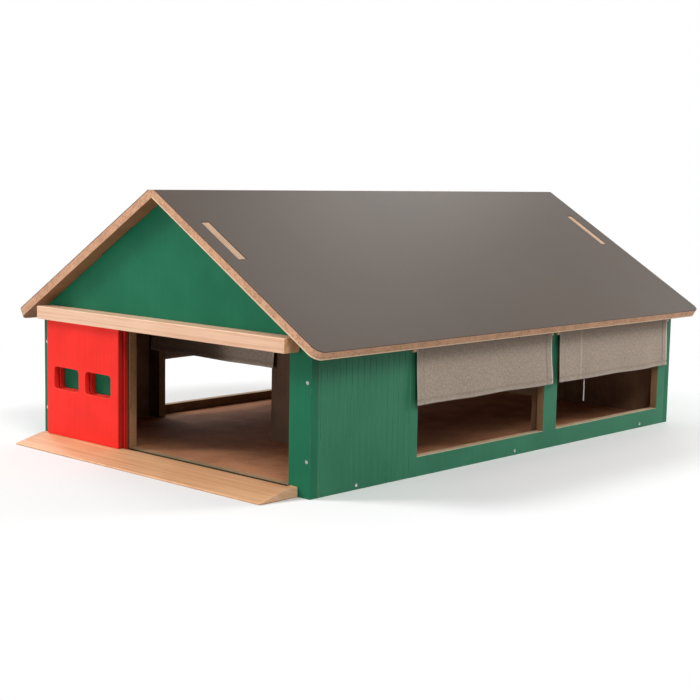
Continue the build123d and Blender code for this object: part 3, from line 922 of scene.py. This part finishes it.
def ends_of(axis, facing=0.7):
    """The second material on the faces at both ends of a piece that lies along an axis."""
    return lambda normal, _place: 1 if abs(normal[axis]) > facing else 0


def flat_of(axis):
    """The first material on the two broad faces of a board that is thin along an axis."""
    return lambda normal, _place: 0 if abs(normal[axis]) > FACING else 1


class STABLE_OT_inside(bpy.types.Operator):
    """Finish the floor, the cross wall and the pier posts"""

    bl_idname = "stable.inside"
    bl_label = "Floor and inner wall"

    def execute(self, context):
        arris = sizes().arris
        worked_board("floor_panel", ["floor board", "cut edge"], flat_of(2), arris)
        # The cross wall's darker board is painted shade
        worked_board("inner_cross_wall", ["inner wall board", "cut edge"], flat_of(0), arris)
        for node in ("near_pier_post", "far_pier_post"):
            worked_board(node, ["bare wall board"], lambda _normal, _place: 0, arris)
        return {"FINISHED"}


class STABLE_OT_roof(bpy.types.Operator):
    """Finish the two halves of the roof"""

    bl_idname = "stable.roof"
    bl_label = "Roof"

    def execute(self, context):
        for name, side in (("near", -1), ("far", 1)):
            under = Vector((0, -side * SLOPE_SIN, -SLOPE_COS))
            worked_board(f"roof_panel_{name}", ["bare roof board", "roof edge"],
                         broad_faces(under), sizes().arris, edges_of_face(under))
            dress_node(f"roof_laminate_{name}", "roof laminate")
        return {"FINISHED"}


def broad_faces(under):
    """The first material on a roof board's two broad faces."""
    return lambda normal, _place: 0 if abs(normal.dot(under)) > FACING_SLOPE else 1


def edges_of_face(under):
    """Whether an edge belongs to a face that looks the way of a roof board's underside."""
    return lambda edge: any(face.normal.dot(under) > LEVEL for face in edge.link_faces)


class STABLE_OT_doorway(bpy.types.Operator):
    """Finish the lintel beam, the entrance ramp and the curtain battens"""

    bl_idname = "stable.doorway"
    bl_label = "Beam, ramp and battens"

    def execute(self, context):
        arris, planed = sizes().arris, sizes().planed_arris
        across, along = ["pale pine across", "pale pine end"], ["pale pine along", "pale pine end"]
        worked_board("door_beam", across, ends_of(1), planed, along_outside("door_beam"))
        worked_board("entrance_ramp", ["warm pine", "warm pine end"], ends_of(1), planed)
        worked_board("curtain_batten_gateway", across, ends_of(1), arris)
        for place in ("near_front", "near_rear", "far_front", "far_rear"):
            worked_board(f"curtain_batten_{place}", along, ends_of(0), arris)
        return {"FINISHED"}


def along_outside(node):
    """Whether an edge runs along the outside of its node's box, so not in a groove or a hole."""
    low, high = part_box(node)

    def runs_outside(edge):
        middle = (edge.verts[0].co + edge.verts[1].co) / 2
        return sum(min(middle[i] - low[i], high[i] - middle[i]) < TOUCHING for i in range(3)) >= 2

    return runs_outside


class STABLE_OT_doors(bpy.types.Operator):
    """Finish the two sliding doors"""

    bl_idname = "stable.doors"
    bl_label = "Sliding doors"

    def execute(self, context):
        for node in ("inner_sliding_door", "outer_sliding_door"):
            worked_board(node, ["red paint", "red paint on edges"], upright_edges(node),
                         sizes().door_arris, shortest=0.0)
        return {"FINISHED"}


def upright_edges(node):
    """The second material, red darkened as painted shade, on a door's two upright edges."""
    low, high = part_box(node)
    return lambda _normal, place: 1 if min(place.y - low.y, high.y - place.y) < TOUCHING else 0


# Curtains

# Each curtain: where it hangs, the side it faces, how far its lower corners stand along the wall and
# outwards, where the first ripple lies, and where it has a pressed crease
CURTAINS = (
    ("near_front", "near", (0.0, 0.0009), (0.0004, 0.0022), 0.4, None),
    ("near_rear", "near", (-0.0011, 0.0), (0.0006, 0.0004), 2.1, 0.0405),
    ("far_front", "far", (0.0004, 0.0005), (0.0012, 0.0006), 3.3, None),
    ("far_rear", "far", (-0.0006, 0.0002), (0.0005, 0.0014), 5.0, None),
    ("gateway", "front", (0.0, 0.0006), (0.0008, 0.0006), 1.2, None),
)
CLOTH_CELL = 0.0022
CLOTH_GAP = 0.00005                # between the batten and the cloth
HINGE_START = BATTEN_BOTTOM + 0.0015
HINGE_END = BATTEN_BOTTOM - 0.0025
RIPPLE_GAP = 0.0003                # least distance of the hanging cloth from its batten's face
RIPPLES = ((0.00055, 0.083, 1), (0.00022, 0.037, 2))       # half height, length, and turns of the phase
CORNER_REACH = 0.024               # how far a lower corner's flare reaches along the hem
HEM_STEP = 0.0003                  # width of the step beside a seam
HEM_SWAY, HEM_SWAY_LENGTH = 0.0003, 0.11       # how the lower edge rises and falls
CREASE_DEPTH = 0.0005
CREASE_HALF_WIDTH = 0.0022
CREASE_STEP = 0.0012               # between the lines that let a crease bend


class STABLE_OT_curtains(bpy.types.Operator):
    """Make the hemmed curtains that hang from the battens"""

    bl_idname = "stable.curtains"
    bl_label = "Curtains"

    def execute(self, context):
        for row in CURTAINS:
            make_curtain(*row)
        return {"FINISHED"}


def make_curtain(name, side, lean, flare, first_ripple, crease):
    """One curtain, cut flat, hemmed, and hung over the face of its batten."""
    batten = f"curtain_batten_{name}"
    low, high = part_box(f"curtain_{name}")
    rail_low, rail_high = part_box(batten)
    outward = Vector(OUTWARD[side])
    along = Vector((0, 1, 0)) if outward.x else Vector((1, 0, 0))
    width = (high - low).dot(along)
    height = rail_low.z + sizes().over_batten - low.z
    rail_face = max(rail_low.dot(outward), rail_high.dot(outward))
    layer, hem, side_hem = sizes().cloth_thickness, sizes().hem_height, sizes().side_hem

    work = flat_cloth(width, height, crease)
    crease_mark = work.verts.layers.float["crease"]
    for vertex in work.verts:
        across, up, front = vertex.co.x, vertex.co.y, vertex.co.z > layer / 2
        doubled = min(across, width - across) < side_hem - HEM_STEP / 2 or up < hem - HEM_STEP / 2
        hang = smooth_step((HINGE_END - low.z - up) / (HINGE_END - low.z))
        depth = rail_face + CLOTH_GAP + hang * ripple(across, first_ripple)
        depth += hang**2 * (flare[0] * corner(across) + flare[1] * corner(width - across))
        depth += hang**0.5 * CREASE_DEPTH * vertex[crease_mark]
        if front:
            depth += layer * (2 if doubled else 1)
        share = across / width
        shift = hang * (lean[0] * (1 - share)**2 + lean[1] * share**2)
        drop = hang**3 * HEM_SWAY * sin(across * 2 * pi / HEM_SWAY_LENGTH + first_ripple)
        vertex.co = (along * (low.dot(along) + across + shift) + outward * depth
                     + Vector((0, 0, low.z + up + drop)))
    bmesh.ops.recalc_face_normals(work, faces=work.faces)
    piece = finished_piece(f"curtain_{name}_cloth", work, ["curtain cloth"], None,
                           f"curtain_{name}")
    piece.data.shade_smooth()
    hinge = outward * max(low.dot(outward), high.dot(outward))
    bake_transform(piece, "stable_body", f"{name}_curtain", start=tuple(hinge + Vector((0, 0, HINGE_START))),
             end=tuple(hinge + Vector((0, 0, HINGE_END))))


def smooth_step(value):
    """0 up to a value of 0, 1 from a value of 1, and a soft rise between."""
    value = min(max(value, 0.0), 1.0)
    return value * value * (3 - 2 * value)


def ripple(across, first):
    """How far the hanging cloth stands out from its batten's face, along its width."""
    return RIPPLE_GAP + sum(half_height * (1 + sin(across * 2 * pi / length + turns * first))
                            for half_height, length, turns in RIPPLES)


def corner(distance):
    """How much of a lower corner's flare is left at a distance from it."""
    return exp(-((distance / CORNER_REACH)**2))


def flat_cloth(width, height, crease):
    """Cloth flat in X and Y, one layer thick, with lines at hems and crease and a map of its size."""
    hem, side_hem = sizes().hem_height, sizes().side_hem
    work = bmesh.new()
    bmesh.ops.create_grid(work, x_segments=round(width / CLOTH_CELL), y_segments=round(height / CLOTH_CELL),
                          size=0.5)
    bmesh.ops.translate(work, verts=work.verts, vec=(0.5, 0.5, 0))
    bmesh.ops.scale(work, verts=work.verts, vec=(width, height, 1))
    upright = [edge + step for edge in (side_hem, width - side_hem) for step in (-HEM_STEP, HEM_STEP)]
    if crease is not None:
        upright += [crease + step * CREASE_STEP for step in range(-2, 3)]
    level = [hem - HEM_STEP, hem + HEM_STEP]
    for places, normal in ((upright, Vector((1, 0, 0))), (level, Vector((0, 1, 0)))):
        for place in places:
            bmesh.ops.bisect_plane(work, geom=work.verts[:] + work.edges[:] + work.faces[:],
                                   plane_co=normal * place, plane_no=normal, dist=TOUCHING)
    bmesh.ops.solidify(work, geom=work.faces[:], thickness=sizes().cloth_thickness)
    lowest = min(vertex.co.z for vertex in work.verts)
    bmesh.ops.translate(work, verts=work.verts, vec=(0, 0, -lowest))
    flat_map = work.loops.layers.uv.new("flat")
    from_side = work.verts.layers.float.new("from side")
    crease_mark = work.verts.layers.float.new("crease")
    for vertex in work.verts:
        vertex[from_side] = min(vertex.co.x, width - vertex.co.x)
        if crease is not None:
            vertex[crease_mark] = max(0.0, 1 - abs(vertex.co.x - crease) / CREASE_HALF_WIDTH)
    for face in work.faces:
        for loop in face.loops:
            loop[flat_map].uv = loop.vert.co.xy
    return work


# Screws and tacks

SCREW_HEAD = 0.0017                # radius
SCREW_HEAD_DEPTH = 0.0011
SCREW_SHANK = 0.0009               # radius
RECESS_MOUTH = 0.001125            # radius of the dished rim round the cross
RECESS_SLOPE = 0.00027             # width of the slope from the rim down to the cross
RECESS_DEPTH = 0.0007
RECESS_PINCH = 1.5                 # how far the cross is drawn in between its arms
TACK_HEAD = 0.0011                 # radius
TACK_HEAD_HEIGHT = 0.0007
TACK_SHANK = 0.0005                # radius


class STABLE_OT_screws(bpy.types.Operator):
    """Make the countersunk screws and the curtain tacks"""

    bl_idname = "stable.screws"
    bl_label = "Screws and tacks"

    def execute(self, context):
        for node, side in (("front_panel_screws", "front"), ("back_panel_screws", "back"),
                           ("near_floor_screws", "near"), ("far_floor_screws", "far"),
                           ("beam_screws", "back")):
            fixings(node, side, add_screw, "bright zinc")
        for name, side in (("near", "near"), ("far", "far"), ("gateway", "front")):
            # The tacks' darker zinc is painted shade
            fixings(f"curtain_tacks_{name}", side, add_tack, "dull tack").data.shade_smooth()
        return {"FINISHED"}


def fixings(node, side, add, metal):
    """All the screws or tacks of one node, which are driven in from one side."""
    work = bmesh.new()
    axis = Vector(OUTWARD[side])
    for low, high in separate_spots(node):
        length = abs((high - low).dot(axis))
        add(work, (low + high) / 2 + axis * length / 2, axis, length)
    bmesh.ops.remove_doubles(work, verts=work.verts, dist=MERGE_DISTANCE)
    bmesh.ops.recalc_face_normals(work, faces=work.faces)
    return finished_piece(f"{node}_finished", work, [metal], "stable_body", node)


def separate_spots(node):
    """The lowest and highest corner of each loose solid in a node, in a fixed order."""
    work = merged_copy(node)
    left = set(work.verts)
    spots = []
    while left:
        found = {left.pop()}
        front = list(found)
        while front:
            for edge in front.pop().link_edges:
                for vertex in edge.verts:
                    if vertex in left:
                        left.remove(vertex)
                        found.add(vertex)
                        front.append(vertex)
        places = [vertex.co for vertex in found]
        spots.append((Vector(min(p[i] for p in places) for i in range(3)),
                      Vector(max(p[i] for p in places) for i in range(3))))
    work.free()
    return sorted(spots, key=lambda spot: tuple(round(value, 5) for value in spot[0]))


def add_screw(work, head, axis, length):
    """A countersunk screw with a cross recess, the middle of its head's face at head."""
    place = Matrix.Translation(head) @ turned_to(axis)
    made = bmesh.ops.create_circle(work, cap_ends=True, segments=24, radius=SCREW_HEAD, matrix=place)
    rim = made["verts"]
    cap = rim[0].link_faces[0]
    cap.normal_update()
    bmesh.ops.inset_individual(work, faces=[cap], thickness=SCREW_HEAD - RECESS_MOUTH)
    bmesh.ops.inset_individual(work, faces=[cap], thickness=RECESS_SLOPE)
    side_a, side_b = place.col[0].xyz, place.col[1].xyz
    for vertex in cap.verts:
        arm = vertex.co - head
        spread = abs(arm.dot(side_a)) * abs(arm.dot(side_b)) / arm.length_squared
        vertex.co = head + arm * (1.0 - RECESS_PINCH * spread) - axis * RECESS_DEPTH
    edges = [edge for edge in work.edges if edge.is_boundary and edge.verts[0] in rim]
    for width, depth in ((SCREW_SHANK / SCREW_HEAD, SCREW_HEAD_DEPTH), (1.0, length - SCREW_HEAD_DEPTH)):
        made = bmesh.ops.extrude_edge_only(work, edges=edges)["geom"]
        edges = [item for item in made if isinstance(item, bmesh.types.BMEdge)]
        for vertex in (item for item in made if isinstance(item, bmesh.types.BMVert)):
            vertex.co = head + (vertex.co - head) * width - axis * depth
    bmesh.ops.contextual_create(work, geom=edges)


def add_tack(work, top, axis, length):
    """A tack with a domed head and a tapered shank, the top of its dome at top."""
    place = Matrix.Translation(top - axis * TACK_HEAD_HEIGHT) @ turned_to(axis)
    dome = bmesh.ops.create_uvsphere(work, u_segments=16, v_segments=8, radius=TACK_HEAD, matrix=place)
    for vertex in dome["verts"]:
        over = (vertex.co - place.translation).dot(axis)
        flat = max(over, 0.0) * TACK_HEAD_HEIGHT / TACK_HEAD
        vertex.co += axis * (flat - over)
    shank = length - TACK_HEAD_HEIGHT
    bmesh.ops.create_cone(work, cap_ends=True, segments=10, radius1=TACK_SHANK / 3, radius2=TACK_SHANK,
                          depth=shank, matrix=place @ Matrix.Translation((0, 0, -shank / 2)))


# Sidebar and registration

OPERATORS = (STABLE_OT_stage, STABLE_OT_pull_cord, STABLE_OT_walls, STABLE_OT_inside, STABLE_OT_roof,
             STABLE_OT_doorway, STABLE_OT_doors, STABLE_OT_curtains, STABLE_OT_screws)


class STABLE_PT_sidebar(bpy.types.Panel):
    """Colours, sizes and pieces of the stable"""

    bl_idname = "STABLE_PT_sidebar"
    bl_label = "Toy cow stable"
    bl_space_type = "VIEW_3D"
    bl_region_type = "UI"
    bl_category = "Stable"

    def draw(self, context):
        for title, group in (("Colours", colours()), ("Sizes", sizes())):
            self.layout.label(text=title)
            for name in group.__annotations__:
                self.layout.prop(group, name)
        self.layout.label(text="Pieces")
        for item in OPERATORS:
            self.layout.operator(item.bl_idname)


CLASSES = (StableColours, StableSizes, *OPERATORS, STABLE_PT_sidebar)


def register():
    for item in CLASSES:
        bpy.utils.register_class(item)
    bpy.types.Scene.stable_colours = PointerProperty(type=StableColours)
    bpy.types.Scene.stable_sizes = PointerProperty(type=StableSizes)


def unregister():
    del bpy.types.Scene.stable_sizes
    del bpy.types.Scene.stable_colours
    for item in reversed(CLASSES):
        bpy.utils.unregister_class(item)


def main():
    """Make every piece."""
    register()
    for item in OPERATORS:
        getattr(bpy.ops.stable, item.bl_idname.removeprefix("stable."))()


if __name__ == "__main__":
    main()
